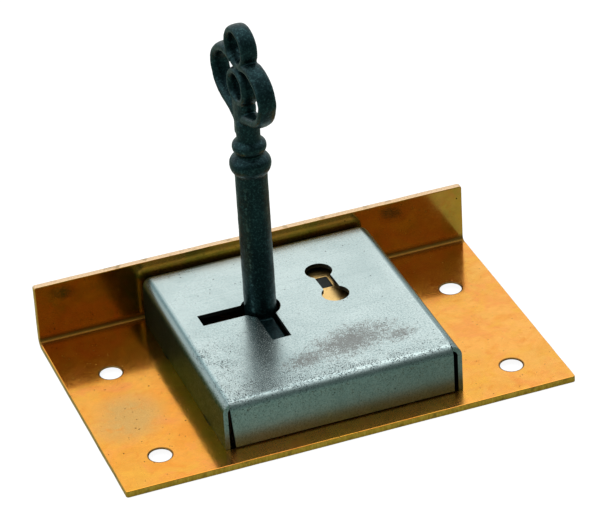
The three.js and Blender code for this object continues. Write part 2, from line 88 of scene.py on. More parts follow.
def rectangle(x0, x1, y0, y1):
    return [(x0, y0), (x1, y0), (x1, y1), (x0, y1)]


def fillet(points, radius, steps=4):
    """Rounds every corner of a closed outline by a small radius."""
    rounded = []
    for i, point in enumerate(points):
        corner = Vector(point)
        back = Vector(points[i - 1]) - corner
        ahead = Vector(points[(i + 1) % len(points)]) - corner
        back_length, ahead_length = back.length, ahead.length
        if back_length < 1e-6 or ahead_length < 1e-6:
            continue
        back, ahead = back / back_length, ahead / ahead_length
        angle = math.acos(max(-1, min(1, back.dot(ahead))))
        if angle > math.radians(165):
            rounded.append(tuple(corner))
            continue
        reach = min(radius / math.tan(angle / 2), back_length * 0.45, ahead_length * 0.45)
        first, last = corner + back * reach, corner + ahead * reach
        for k in range(steps + 1):
            t = k / steps
            rounded.append(tuple((1 - t) ** 2 * first + 2 * t * (1 - t) * corner + t * t * last))
    return rounded


def wavy(points, amount, step=3.0):
    """Splits long edges and lets them wander a little, as a sheared edge does."""
    wandering = []
    for i, point in enumerate(points):
        start, end = Vector(point), Vector(points[(i + 1) % len(points)])
        n = max(1, int((end - start).length / step))
        for j in range(n):
            p = start.lerp(end, j / n)
            if j > 0:
                seed = Vector((p.x * 0.21, p.y * 0.21, 4.2))
                drift = noise.noise(seed), noise.noise(seed + Vector((9, 9, 9)))
                p = p + Vector(drift) * amount
            wandering.append((p.x, p.y))
    return wandering


# ---------------------------------------------------------------- mesh helpers
def link(ob):
    scene.collection.objects.link(ob)
    return ob


def evaluated_mesh(ob):
    bpy.context.view_layer.update()
    depsgraph = bpy.context.evaluated_depsgraph_get()
    return bpy.data.meshes.new_from_object(ob.evaluated_get(depsgraph), depsgraph=depsgraph)


def flatten(ob):
    """Applies an object's modifiers to its own mesh."""
    mesh = evaluated_mesh(ob)
    ob.modifiers.clear()
    ob.data = mesh
    return ob


def from_lists(name, verts, faces):
    mesh = bpy.data.meshes.new(name)
    mesh.from_pydata([tuple(v) for v in verts], [], [tuple(f) for f in faces])
    mesh.validate()
    return link(bpy.data.objects.new(name, mesh))


def tidy(ob, dist=1e-5):
    """Welds doubles, drops slivers and turns all faces outwards."""
    bm = bmesh.new()
    bm.from_mesh(ob.data)
    bmesh.ops.remove_doubles(bm, verts=bm.verts, dist=dist)
    bmesh.ops.dissolve_degenerate(bm, edges=bm.edges, dist=1e-5)
    bmesh.ops.recalc_face_normals(bm, faces=bm.faces)
    bm.to_mesh(ob.data)
    bm.free()
    return ob


def slab(name, outline, holes, z0, z1, bevel, steps=2):
    """A flat plate over an outline with holes; its edges are rounded all round."""
    curve = bpy.data.curves.new(name, "CURVE")
    curve.dimensions = "2D"
    curve.fill_mode = "BOTH"
    curve.extrude = (z1 - z0) / 2 - bevel
    curve.bevel_depth = bevel
    curve.bevel_resolution = steps
    curve.offset = -bevel
    for loop in [outline, *holes]:
        spline = curve.splines.new("POLY")
        spline.points.add(len(loop) - 1)
        for point, (x, y) in zip(spline.points, loop):
            point.co = (x, y, 0, 1)
        spline.use_cyclic_u = True
    holder = link(bpy.data.objects.new(name + "_tmp", curve))
    mesh = evaluated_mesh(holder)
    bpy.data.objects.remove(holder)
    bpy.data.curves.remove(curve)
    mesh.transform(Matrix.Translation((0, 0, (z0 + z1) / 2)))
    mesh.materials.clear()
    mesh.name = name
    return tidy(link(bpy.data.objects.new(name, mesh)), 2e-4)


def revolve(name, profile, n):
    """Turned piece from (radius, height) pairs that start and end on the axis."""
    verts, rings, faces = [], [], []
    for r, z in profile:
        count = 1 if r < 1e-6 else n
        rings.append(list(range(len(verts), len(verts) + count)))
        verts += [(0, 0, z)] if count == 1 else [(x, y, z) for x, y in circle(0, 0, r, n)]
    for low, high in zip(rings, rings[1:]):
        for i in range(n):
            j = (i + 1) % n
            if len(low) == 1:
                faces.append((low[0], high[i], high[j]))
            elif len(high) == 1:
                faces.append((low[i], low[j], high[0]))
            else:
                faces.append((low[i], low[j], high[j], high[i]))
    return tidy(from_lists(name, verts, faces))


def block(name, x0, x1, y0, y1, z0, z1):
    verts = [(x, y, z) for z in (z0, z1) for y in (y0, y1) for x in (x0, x1)]
    faces = [(0, 2, 3, 1), (4, 5, 7, 6), (0, 1, 5, 4), (2, 6, 7, 3), (0, 4, 6, 2), (1, 3, 7, 5)]
    return from_lists(name, verts, faces)


def prism(name, outline, z0, z1):
    n = len(outline)
    verts = [(x, y, z) for z in (z0, z1) for x, y in outline]
    faces = [tuple(reversed(range(n))), tuple(range(n, 2 * n))]
    faces += [(i, (i + 1) % n, n + (i + 1) % n, n + i) for i in range(n)]
    return tidy(from_lists(name, verts, faces))


def boolean(ob, other, operation):
    modifier = ob.modifiers.new("b", "BOOLEAN")
    modifier.operation = operation
    modifier.solver = "EXACT"
    modifier.object = other
    flatten(ob)
    bpy.data.objects.remove(other)
    return ob


def bevelled(ob, width, segments, angle):
    modifier = ob.modifiers.new("bevel", "BEVEL")
    modifier.width = width
    modifier.segments = segments
    modifier.limit_method = "ANGLE"
    modifier.angle_limit = math.radians(angle)
    modifier.use_clamp_overlap = True
    modifier.harden_normals = False
    modifier.miter_outer = "MITER_ARC"
    return flatten(ob)


def cut_at_y(ob, y):
    """Adds an edge loop where the plane at y crosses the mesh."""
    bm = bmesh.new()
    bm.from_mesh(ob.data)
    bmesh.ops.bisect_plane(bm, geom=bm.verts[:] + bm.edges[:] + bm.faces[:], dist=1e-5,
                           plane_co=(0, y, 0), plane_no=(0, 1, 0))
    bm.to_mesh(ob.data)
    bm.free()


def dress(ob, nodes, material, smooth_angle, weighted=True):
    """Metres, shading and material, and hides the CAD nodes the object stands for."""
    ob.data.transform(Matrix.Scale(MM, 4))
    for face in ob.data.polygons:
        face.use_smooth = True
    ob.data.set_sharp_from_angle(angle=math.radians(smooth_angle))
    if weighted:
        modifier = ob.modifiers.new("shade", "WEIGHTED_NORMAL")
        modifier.keep_sharp = True
        modifier.weight = 90
        modifier.mode = "FACE_AREA"
    ob.data.materials.clear()
    ob.data.materials.append(material)
    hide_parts(*nodes)


def finish_piece(ob, body, nodes, material, smooth_angle=40, weighted=True):
    """Dresses a piece and lets it ride on a moving body."""
    dress(ob, nodes, material, smooth_angle, weighted)
    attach(ob, body)


# ---------------------------------------------------------------- shader node helpers
def feed(socket, value):
    """Links a signal to an input, or sets the input to a number or colour."""
    if isinstance(value, Signal):
        socket.id_data.links.new(value.socket, socket)
    elif socket.type == "RGBA":
        socket.default_value = rgba(value)
    else:
        socket.default_value = value


def rgba(value):
    return (*value, 1) if isinstance(value, tuple) else (value, value, value, 1)


def add_node(tree, kind, inputs=None, **settings):
    node = tree.nodes.new("ShaderNode" + kind)
    for name, value in settings.items():
        setattr(node, name, value)
    for key, value in (inputs or {}).items():
        feed(node.inputs[key], value)
    return node


def signal(tree, kind, inputs=None, out=0, **settings):
    return Signal(add_node(tree, kind, inputs, **settings).outputs[out])


class Signal:
    """A node's output; arithmetic on it adds Math nodes to the same tree."""

    def __init__(self, socket):
        self.socket = socket

    def math(self, operation, first, second=0.0):
        return signal(self.socket.id_data, "Math", {0: first, 1: second}, operation=operation)

    def __add__(self, other):
        return self.math("ADD", self, other)

    def __sub__(self, other):
        return self.math("SUBTRACT", self, other)

    def __rsub__(self, other):
        return self.math("SUBTRACT", other, self)

    def __mul__(self, other):
        return self.math("MULTIPLY", self, other)

    def __pow__(self, other):
        return self.math("POWER", self, other)

    def __abs__(self):
        return self.math("ABSOLUTE", self)

    def clamped(self):
        """Holds the last Math node's result between 0 and 1."""
        self.socket.node.use_clamp = True
        return self

    def rise(self, slope):
        return (self * slope).clamped()


def larger(a, b):
    return a.math("MAXIMUM", a, b)


def mix(factor, under, over):
    return signal(factor.socket.id_data, "Mix", {0: factor, 6: under, 7: over}, out=2,
                  data_type="RGBA")


def fade(factor, span=(0.3, 0.7), values=(0.0, 1.0), interpolation="LINEAR"):
    """Colour ramp with the given numbers or colours at the span's positions.

    The default span holds nearly all of a noise texture's range.
    """
    node = add_node(factor.socket.id_data, "ValToRGB", {0: factor})
    node.color_ramp.interpolation = interpolation
    elements = node.color_ramp.elements
    while len(elements) < len(span):
        elements.new(0.5)
    for element, position, value in zip(elements, span, values):
        element.position = position
        element.color = rgba(value)
    return Signal(node.outputs[0])


def mapped(vector, shift=(0, 0, 0), turn=0, stretch=(1, 1, 1)):
    """Scales, turns about Z (degrees) and then shifts a vector."""
    return signal(vector.socket.id_data, "Mapping", {
        "Vector": vector, "Scale": stretch, "Rotation": (0, 0, math.radians(turn)),
        "Location": shift})


def split(vector):
    node = add_node(vector.socket.id_data, "SeparateXYZ", {0: vector})
    return [Signal(socket) for socket in node.outputs]


def empty_tree(owner):
    owner.use_nodes = True
    owner.node_tree.nodes.clear()
    return owner.node_tree


class Surface:
    """A Principled material laid out in object millimetres; bumps stack in the order made."""

    def __init__(self, name):
        self.material = bpy.data.materials.new(name)
        self.tree = empty_tree(self.material)
        self.bsdf = add_node(self.tree, "BsdfPrincipled")
        add_node(self.tree, "OutputMaterial", {0: Signal(self.bsdf.outputs[0])})
        metres = signal(self.tree, "TexCoord", out="Object")
        self.mm = mapped(metres, stretch=(1000, 1000, 1000))
        self.normal = None

    def position(self):
        return split(self.mm)

    def facing(self):
        return split(signal(self.tree, "TexCoord", out="Normal"))

    def place(self, placing):
        return mapped(self.mm, **placing) if placing else self.mm

    def noise(self, scale, detail=4, rough=0.6, distort=0.0, **placing):
        return signal(self.tree, "TexNoise", {
            "Scale": scale, "Detail": detail, "Roughness": rough, "Distortion": distort,
            "Vector": self.place(placing)}, out="Fac")

    def cells(self, scale, **placing):
        return signal(self.tree, "TexVoronoi", {"Scale": scale, "Vector": self.place(placing)},
                      out="Distance")

    def ellipse(self, centre, radii, turn=0):
        """1 at the middle of an ellipse on the XY plane, falling to 0 at its edge."""
        vector = mapped(self.mm, shift=(-centre[0], -centre[1], 0))
        vector = mapped(vector, turn=-turn)
        vector = mapped(vector, stretch=(1 / radii[0], 1 / radii[1], 0))
        length = signal(self.tree, "VectorMath", {0: vector}, out="Value", operation="LENGTH")
        return (1.0 - length).clamped()

    def scratches(self, turn, fine, along, threshold, seed=0.0):
        """Thin lines, 1 on a line and 0 elsewhere."""
        lines = self.noise(scale=1.0, detail=2, rough=0.5, turn=turn,
                           stretch=(along, fine, fine), shift=(seed, seed * 1.7, 0))
        return fade(lines, span=(threshold, threshold + 0.03))

    def stained(self, base, color, span, strength, **pattern):
        """Lays a colour over the base where a noise runs high."""
        cover = fade(self.noise(**pattern), span, values=(0.0, strength))
        return mix(cover, base, over=color)

    def bump(self, height, strength, depth):
        """Adds relief on top of the bumps so far; depth in metres."""
        inputs = {"Strength": strength, "Distance": depth, "Height": height}
        if self.normal:
            inputs["Normal"] = self.normal
        self.normal = signal(self.tree, "Bump", inputs)

    def done(self, color, rough, metal=1.0):
        feed(self.bsdf.inputs["Base Color"], color)
        feed(self.bsdf.inputs["Roughness"], rough)
        feed(self.bsdf.inputs["Metallic"], metal)
        feed(self.bsdf.inputs["Normal"], self.normal)
        return self.material


# ---------------------------------------------------------------- materials
# Masks made from x, y, z start at the named millimetre and rise by the slope for each one.
def plate_brass():
    """Polished orange brass sheet with tarnish, pits and scratches."""
    mat = Surface("plate_brass")
    # broad drifts of orange, paler towards +X
    broad = fade(mat.noise(scale=0.07, detail=3, distort=0.8), span=(0.35, 0.65))
    cloud = fade(mat.noise(scale=0.16, shift=(13, 4, 2), distort=1.2), span=(0.46, 0.66))
    x, y, z = mat.position()
    east = (x + 10.0).rise(slope=0.022)
    base = mix(broad, (0.95, 0.385, 0.048), over=(0.97, 0.425, 0.068))
    base = mix(east * 0.8, base, over=(0.99, 0.475, 0.105))
    base = mix(cloud * 0.55, base, over=(0.90, 0.31, 0.030))

    # olive tarnish in weak drifts along the sheet; on the standing flange it is made strong as a
    # painted reflection
    olive_tarnish_and_reflection = fade(mat.noise(scale=0.11, shift=(21, 5, 8), distort=0.8), span=(0.44, 0.68))
    standing = (z - 1.6).rise(slope=0.6)
    olive_tarnish_and_reflection = olive_tarnish_and_reflection * (standing * 0.75 + 0.22)
    base = mix(olive_tarnish_and_reflection, base, over=(0.62, 0.44, 0.05))
    # painted shade: the standing flange is darkened towards brown
    base = mix(standing * 0.22, base, over=(0.34, 0.13, 0.01))

    # blush and straw drifts
    base = mat.stained(base, color=(0.93, 0.34, 0.075), span=(0.50, 0.70), strength=0.8,
                       scale=0.14, detail=3, rough=0.55, shift=(31, 14, 2), distort=1.6)
    base = mat.stained(base, color=(0.93, 0.46, 0.055), span=(0.50, 0.68), strength=0.7,
                       scale=0.17, detail=3, rough=0.55, shift=(3, 41, 7), distort=1.2)

    # pale patch near the left end
    pale = mat.ellipse(centre=(-31.5, -4.5), radii=(8.5, 7.0), turn=60)
    pale = pale * fade(mat.noise(scale=0.22), values=(0.5, 1.0))
    pale = fade(pale, span=(0.0, 0.45), values=(0.0, 0.9))
    base = mix(pale, base, over=(0.62, 0.37, 0.11))

    # fine mottle, then rusty orange drifts
    fine = fade(mat.noise(scale=1.1, detail=5, rough=0.7), span=(0.36, 0.58), values=(0.14, 0.0))
    base = mix(fine, base, over=(0.66, 0.24, 0.025))
    base = mat.stained(base, color=(0.80, 0.27, 0.025), span=(0.54, 0.70), strength=0.5,
                       scale=0.45, detail=5, rough=0.7, shift=(6, 1, 4), distort=0.6)

    # pin-prick pits, in drifts
    drift = fade(mat.noise(scale=0.13, detail=2, rough=0.5, shift=(3, 9, 1)), span=(0.42, 0.62))
    dots = fade(mat.cells(scale=0.9), span=(0.09, 0.15), values=(1.0, 0.0))
    keep = fade(mat.noise(scale=0.9, detail=1, rough=0.5, shift=(7, 7, 7)), span=(0.46, 0.50))
    pits = dots * keep * (drift * 0.75 + 0.22)
    base = mix(pits, base, over=(0.10, 0.04, 0.01))

    lines = larger(mat.scratches(turn=12, fine=4.5, along=0.035, threshold=0.70),
                   mat.scratches(turn=-48, fine=5.5, along=0.05, threshold=0.73, seed=5.0))
    lines = larger(lines, mat.scratches(turn=83, fine=5.0, along=0.04, threshold=0.74, seed=11.0))
    base = mix(lines * 0.12, base, over=(0.97, 0.66, 0.32))

    # polished ground with a fine worn grain between: sharp reflections under a soft bloom
    worn = fade(mat.noise(scale=11.0, detail=2, shift=(1, 1, 6)), span=(0.46, 0.62))
    rough = fade(mat.noise(scale=0.35), values=(0.08, 0.13)) + worn * 0.12
    rough = rough + pits * 0.4
    rough = rough + pale * 0.10

    # painted shade darkening the inside of the fold, with old polish caking it
    # painted shade: the crease of the fold is darkened
    fold_shade_and_polish = (y - 21.3).rise(slope=1.3)
    fold_shade_and_polish = fold_shade_and_polish * (2.5 - z).rise(slope=1.2)
    fold_shade_and_polish = fold_shade_and_polish * (23.4 - y).rise(slope=4.0)
    base = mix(fold_shade_and_polish * 0.85, base, over=(0.20, 0.11, 0.02))
    # painted shade on the part the cap covers, which is also greased
    # painted shade: the plate under the cap is darkened nearly to black
    under_cap_shade_and_grease = (19.6 - abs(x)).rise(slope=0.5) * (y + 19.3).rise(slope=0.5)
    under_cap_shade_and_grease = under_cap_shade_and_grease * (21.4 - y).rise(slope=0.5)
    under_cap_shade_and_grease = under_cap_shade_and_grease * (z - 1.0).rise(slope=9.0)
    base = mix(under_cap_shade_and_grease * 0.9, base, over=(0.055, 0.04, 0.02))
    rough = rough + larger(fold_shade_and_polish, under_cap_shade_and_grease) * 0.3

    # dark rings round the screw holes
    for centre in SCREWS:
        ring = fade(mat.ellipse(centre, radii=(2.5, 2.5)), span=(0.13, 0.19), values=(0.0, 0.9))
        base = mix(ring, base, over=(0.10, 0.06, 0.02))
    # duller strip in front of the cap
    strip = (20.6 - abs(x)).rise(slope=2.0) * (-19.6 - y).rise(slope=3.0)
    rough = (rough + strip * 0.16).clamped()

    mat.bump(mat.noise(scale=0.10, detail=2, rough=0.5), strength=0.5, depth=0.00012)
    mat.bump(mat.noise(scale=0.55, detail=3, rough=0.5), strength=0.04, depth=0.00003)
    mat.bump(mat.noise(scale=9.0, detail=3), strength=0.05, depth=0.00001)
    mat.bump(0.0 - (lines * 0.08 + pits), strength=0.2, depth=0.00001)
    return mat.done(base, rough)


def edge_brass():
    """Sheared edges of the plate, duller than its rolled faces."""
    mat = Surface("edge_brass")
    shear = mat.noise(scale=1.0, rough=0.65, stretch=(3.0, 3.0, 0.6))
    _, _, facing_up = mat.facing()
    side = fade(shear, span=(0.3, 0.55, 0.75),
                values=((0.62, 0.34, 0.04), (0.88, 0.50, 0.07), (0.98, 0.62, 0.14)))
    # painted highlight: upward-facing edges take a paler peach colour
    crown = fade(shear, span=(0.3, 0.6), values=((0.60, 0.42, 0.26), (0.78, 0.56, 0.34)))
    base = mix(fade(facing_up, span=(0.4, 0.7)), side, over=crown)
    base = mat.stained(base, color=(0.20, 0.13, 0.04), span=(0.55, 0.7), strength=0.6,
                       scale=0.5, detail=3)
    mat.bump(shear, strength=0.5, depth=0.00006)
    return mat.done(base, rough=fade(shear, values=(0.5, 0.3)))


def cap_steel():
    """Cold-rolled steel, pitted towards the front; painted light makes the top bright and painted
    shade makes the sides dull.
    """
    mat = Surface("cap_steel")
    nx, ny, nz = mat.facing()
    x, y, z = mat.position()
    # painted light and shade: up-facing faces take the light top colour, the walls a darker one, the
    # side flanks and back a near-black one
    up = fade(nz, span=(0.35, 0.9))
    up = up * fade(ny, span=(0.12, 0.5), values=(1.0, 0.0))
    wide = mat.noise(scale=0.09, detail=3, distort=0.6)
    top = fade(wide, values=((0.515, 0.62, 0.61), (0.615, 0.715, 0.70)))
    side = fade(mat.noise(scale=0.3, stretch=(1, 1, 0.35)),
                values=((0.29, 0.40, 0.41), (0.40, 0.52, 0.54)))
    flank_shade = fade(mat.noise(scale=0.25), values=((0.05, 0.085, 0.05), (0.08, 0.125, 0.07)))
    sideways = fade(abs(nx), span=(0.40, 0.85))
    rear = fade(ny, span=(0.12, 0.5))  # painted shade: the back and its bend take the dark colour of the flanks too
    sideways = larger(sideways, rear)
    side = mix(sideways, side, over=flank_shade)
    # a darker cloudy patch on the top, towards the front left
    dark_cloud = mat.ellipse(centre=(-8.5, -14.0), radii=(8.0, 6.0), turn=20)
    dark_cloud = dark_cloud * fade(mat.noise(scale=0.4, rough=0.65), span=(0.35, 0.7), values=(0.2, 1.0))
    dark_cloud = fade(dark_cloud, span=(0.0, 0.6), values=(0.0, 0.34))
    top = mix(dark_cloud, top, over=(0.22, 0.33, 0.34))
    base = mix(up, side, over=top)

    # painted shade: the side bends go through a dull blue-green between the lit top and the flanks
    bend = fade(abs(nx), span=(0.02, 0.32)) * (1.0 - sideways)
    base = mix(bend * 0.95, base, over=(0.11, 0.19, 0.20))
    # painted shade: the flanks' reflections are tinted dark olive
    tint = mix(sideways * (1.0 - up), (1.0, 1.0, 1.0), over=(0.30, 0.34, 0.15))
    feed(mat.bsdf.inputs["Specular Tint"], tint)

    # cold-rolled grain: a fine salt-and-pepper mottle, weaker towards the back
    grain = mat.noise(scale=3.2, rough=0.75)
    worn = (7.0 - y).rise(slope=0.045) * 0.6 + 0.4
    pepper = fade(grain, span=(0.35, 0.54), values=(0.90, 0.0))
    base = mix(pepper * worn, base, over=(0.28, 0.38, 0.385))
    salt = fade(mat.noise(scale=5.5, detail=3, rough=0.7, shift=(5, 1, 3)),
                span=(0.60, 0.75), values=(0.0, 0.5))
    base = mix(salt * worn, base, over=(0.78, 0.86, 0.86))

    # dark pits: few over most of the top, thick towards the front fold and the left corner
    near = (y + 13.0).rise(slope=-0.16)
    left = (x + 6.0).rise(slope=-0.06)
    drift = fade(mat.noise(scale=0.33, rough=0.65, shift=(2, 6, 0)), span=(0.38, 0.60))
    corner = left * (y + -4.0).rise(slope=-0.12) * (drift + 0.25) * 0.75
    density = near * (drift * 0.75 + 0.30) + corner
    lift = (z - 5.0).rise(slope=0.12) + 0.40  # fewer pits low on the walls
    density = (density + 0.33).clamped() * (up * 0.15 + lift)
    speck = mat.noise(scale=4.6, detail=3, rough=0.7, shift=(1, 2, 9))
    level = 0.70 - density * 0.17
    spots = (speck - level).rise(slope=16.0)
    big = fade(mat.cells(scale=0.55, shift=(4, 4, 4)), span=(0.05, 0.085), values=(1.0, 0.0))
    spots = larger(spots, big * 0.85)

    # rubbed brownish patch at the front of the top, broken up by the grain
    patch = larger(mat.ellipse(centre=(4.8, -10.8), radii=(10.4, 5.2), turn=12),
                   mat.ellipse(centre=(-3.5, -13.0), radii=(6.5, 3.2), turn=16) * 0.80)
    patch = larger(patch, mat.ellipse(centre=(12.5, -12.4), radii=(4.5, 2.6), turn=20) * 0.75)
    patch = patch ** 0.6 * up
    broken = mat.noise(scale=1.1, detail=6, rough=0.80, shift=(8, 3, 2))
    crumbs = mat.noise(scale=5.0, detail=3, rough=0.8, shift=(2, 8, 5))
    rub = patch + (broken - 0.5) * 1.7
    rub = rub + (crumbs - 0.5) * 2.8
    rub = (rub - 0.44).rise(slope=3.6)
    rub = rub * fade(patch, span=(0.0, 0.22))
    base = mix(rub * 0.85, base, over=(0.17, 0.165, 0.155))
    base = mix(spots * 0.95, base, over=(0.035, 0.045, 0.05))

    # long faint drawing lines
    lines = mat.noise(scale=1.0, detail=3, stretch=(0.05, 2.4, 1.0), turn=-9)
    upright = mat.noise(scale=1.0, detail=3, stretch=(1.6, 1.6, 0.25))
    streak = mix(up, upright, over=lines)
    faint = fade(streak, span=(0.32, 0.50), values=(0.12, 0.0))
    base = mix(faint, base, over=(0.30, 0.38, 0.38))
    brush = mat.noise(scale=1.0, rough=0.75, stretch=(4.2, 4.2, 3.0), shift=(3, 3, 3))
    brush = fade(brush, span=(0.38, 0.55), values=(0.50, 0.0))
    base = mix(brush * (1.0 - up), base, over=(0.10, 0.15, 0.15))
    # the walls dim from the left end towards the right
    dim = (x + 14.0).rise(slope=0.04)
    base = mix(dim * 0.30 * (1.0 - up), base, over=(0.05, 0.07, 0.06))

    rough = mix(up, 0.34, over=fade(wide, values=(0.23, 0.29)))
    rough = rough + rub * 0.16
    rough = (rough + spots * 0.25).clamped()
    mat.bump(mat.noise(scale=0.12, detail=2, rough=0.5), strength=0.35, depth=0.00010)
    mat.bump(streak, strength=0.10, depth=0.00003)
    mat.bump(grain, strength=0.16, depth=0.00003)
    mat.bump(0.0 - (spots + rub * 0.5), strength=0.4, depth=0.00003)
    return mat.done(base, rough)


def key_iron():
    """Dark blue-green cast iron."""
    mat = Surface("key_iron")
    base = fade(mat.noise(scale=0.25), values=((0.003, 0.014, 0.017), (0.007, 0.029, 0.034)))
    grain = mat.noise(scale=2.8, detail=5, rough=0.7)
    flecks = fade(grain, span=(0.50, 0.68), values=(0.0, 0.8))
    base = mix(flecks, base, over=(0.04, 0.105, 0.11))
    # crests lighter: handling wear, and a painted highlight on the beads
    pointiness = signal(mat.tree, "NewGeometry", out="Pointiness")
    crest_wear_and_highlight = fade(pointiness, span=(0.50, 0.58), values=(0.0, 0.55))
    crest_wear_and_highlight = crest_wear_and_highlight * fade(grain, span=(0.3, 0.6), values=(0.3, 1.0))
    base = mix(crest_wear_and_highlight, base, over=(0.07, 0.15, 0.155))
    rough = fade(mat.noise(scale=1.2), values=(0.27, 0.46))
    mat.bump(mat.noise(scale=0.8), strength=0.25, depth=0.00012)
    mat.bump(grain, strength=0.45, depth=0.00005)
    mat.bump(mat.noise(scale=8.0, detail=3), strength=0.35, depth=0.000015)
    return mat.done(base, rough, metal=0.85)


def worked_brass(name, tint, dark, angle):
    """Filed brass, spotted and greasy, darkened round the key as painted shade; the file lines run
    at the angle.
    """
    mat = Surface(name)
    light = tuple(min(1, c * 1.12) for c in tint)
    base = fade(mat.noise(scale=0.3), values=(tint, light))
    base = mat.stained(base, color=dark, span=(0.55, 0.75), strength=0.7, scale=2.2, rough=0.7)
    dots = fade(mat.cells(scale=1.3), span=(0.09, 0.16), values=(0.9, 0.0))
    keep = fade(mat.noise(scale=0.6, detail=1, rough=0.5), span=(0.5, 0.56))
    base = mix(dots * keep, base, over=tuple(c * 0.3 for c in dark))
    # greased black where the key works, also standing in as painted shade inside the cap
    grease_and_shade = mat.ellipse(centre=(KEY_X, KEY_Y), radii=(11.0, 11.0))
    grease_and_shade = fade(grease_and_shade, span=(0.0, 0.45), values=(0.0, 0.93))
    base = mix(grease_and_shade, base, over=(0.035, 0.025, 0.012))
    lines = mat.noise(scale=1.0, detail=3, stretch=(0.12, 4.0, 1.0), turn=angle)
    mat.bump(lines, strength=0.25, depth=0.00004)
    mat.bump(mat.noise(scale=4.0, detail=3), strength=0.12, depth=0.00002)
    return mat.done(base, rough=fade(lines, values=(0.26, 0.42)))


def turned_steel():
    mat = Surface("post_steel")
    base = fade(mat.noise(scale=0.5), values=((0.26, 0.27, 0.265), (0.42, 0.43, 0.42)))
    base = mat.stained(base, color=(0.10, 0.085, 0.07), span=(0.55, 0.75), strength=0.8,
                       scale=3.0, rough=0.7)
    rings = mat.noise(scale=1.0, detail=2, rough=0.5, stretch=(0.2, 0.2, 9.0))
    mat.bump(rings, strength=0.3, depth=0.00003)
    return mat.done(base, rough=fade(rings, values=(0.30, 0.48)))


def spring_steel():
    mat = Surface("spring_steel")
    base = fade(mat.noise(scale=0.4, detail=3), values=((0.16, 0.18, 0.22), (0.30, 0.32, 0.34)))
    base = mat.stained(base, color=(0.12, 0.08, 0.05), span=(0.6, 0.8), strength=0.7,
                       scale=3.5, rough=0.7)
    lines = mat.noise(scale=1.0, detail=2, stretch=(0.6, 0.6, 7.0))
    mat.bump(lines, strength=0.2, depth=0.00002)
    return mat.done(base, rough=fade(lines, values=(0.25, 0.4)))


def scale_steel():
    """Dark mill scale."""
    mat = Surface("cap_inside")
    wide = mat.noise(scale=0.4)
    base = fade(wide, values=((0.020, 0.024, 0.024), (0.055, 0.060, 0.058)))
    base = mat.stained(base, color=(0.07, 0.045, 0.03), span=(0.55, 0.75), strength=0.7,
                       scale=3.0, rough=0.7)
    mat.bump(mat.noise(scale=2.5), strength=0.3, depth=0.00004)
    return mat.done(base, rough=fade(wide, values=(0.5, 0.7)))


PLATE_BRASS = plate_brass()
EDGE_BRASS = edge_brass()
CAP_STEEL = cap_steel()
KEY_IRON = key_iron()
BOLT_BRASS = worked_brass("bolt_brass", tint=(0.80, 0.53, 0.20), dark=(0.42, 0.26, 0.08),
                          angle=20)
LEVER_BRASS = worked_brass("lever_brass", tint=(0.74, 0.47, 0.19), dark=(0.34, 0.22, 0.09),
                           angle=65)
POST_STEEL = turned_steel()
SPRING_STEEL = spring_steel()
SCALE_STEEL = scale_steel()

# ---------------------------------------------------------------- back plate
BEND_R = 0.60  # inner radius of the fold
BEND_STEPS = 12
FOLD_Y = PLATE_Y - PLATE_T - BEND_R  # where the bend starts
BEND_LENGTH = (BEND_R + PLATE_T / 2) * math.pi / 2
FLANGE_RISE = 10.58  # height of the flange above the plate's upper face
BOLT_SLOT_X, BOLT_SLOT_Z = 7.15, (4.95, 8.2)
SCREW_HOLE_R = 1.86
COUNTERSINK = [(0, -0.5), (4.38, -0.5), (1.735, 1.0), (0, 1.0)]  # radius, height
LUG_SLOT_X, LUG_SLOT_Y = 0.43, 1.56  # half sizes


def flat_y(z):
    """Place on the flat sheet of a height on the folded flange."""
    return FOLD_Y + BEND_LENGTH + (z - PLATE_T - BEND_R)


def plate_holes():
    holes = [circle(x, y, SCREW_HOLE_R, 56) for x, y in SCREWS]
    low, high = BOLT_SLOT_Z
    bolt_slot = rectangle(-BOLT_SLOT_X, BOLT_SLOT_X, flat_y(low), flat_y(high))
    holes.append(fillet(bolt_slot, 0.25))
    for side, y in LUGS:
        x = side * (CAP_X - CAP_SHEET / 2)
        holes.append(rectangle(x - LUG_SLOT_X, x + LUG_SLOT_X, y - LUG_SLOT_Y, y + LUG_SLOT_Y))
    holes += [circle(x, y, tenon + TENON_GAP, 32) for _, _, x, y, _, tenon, _ in POSTS]
    return holes


def fold_flange(plate):
    """Rolls the flat sheet up behind FOLD_Y."""
    for i in range(BEND_STEPS + 1):
        cut_at_y(plate, FOLD_Y + BEND_LENGTH * i / BEND_STEPS)
    for vert in plate.data.vertices:
        x, y, z = vert.co
        past = y - FOLD_Y
        if past > 0:
            angle = min(past / BEND_LENGTH, 1) * math.pi / 2
            radius = BEND_R + (PLATE_T - z)
            y = FOLD_Y + radius * math.sin(angle)
            z = PLATE_T + BEND_R - radius * math.cos(angle) + max(0.0, past - BEND_LENGTH)
        vert.co = (x, y, z)
    tidy(plate)


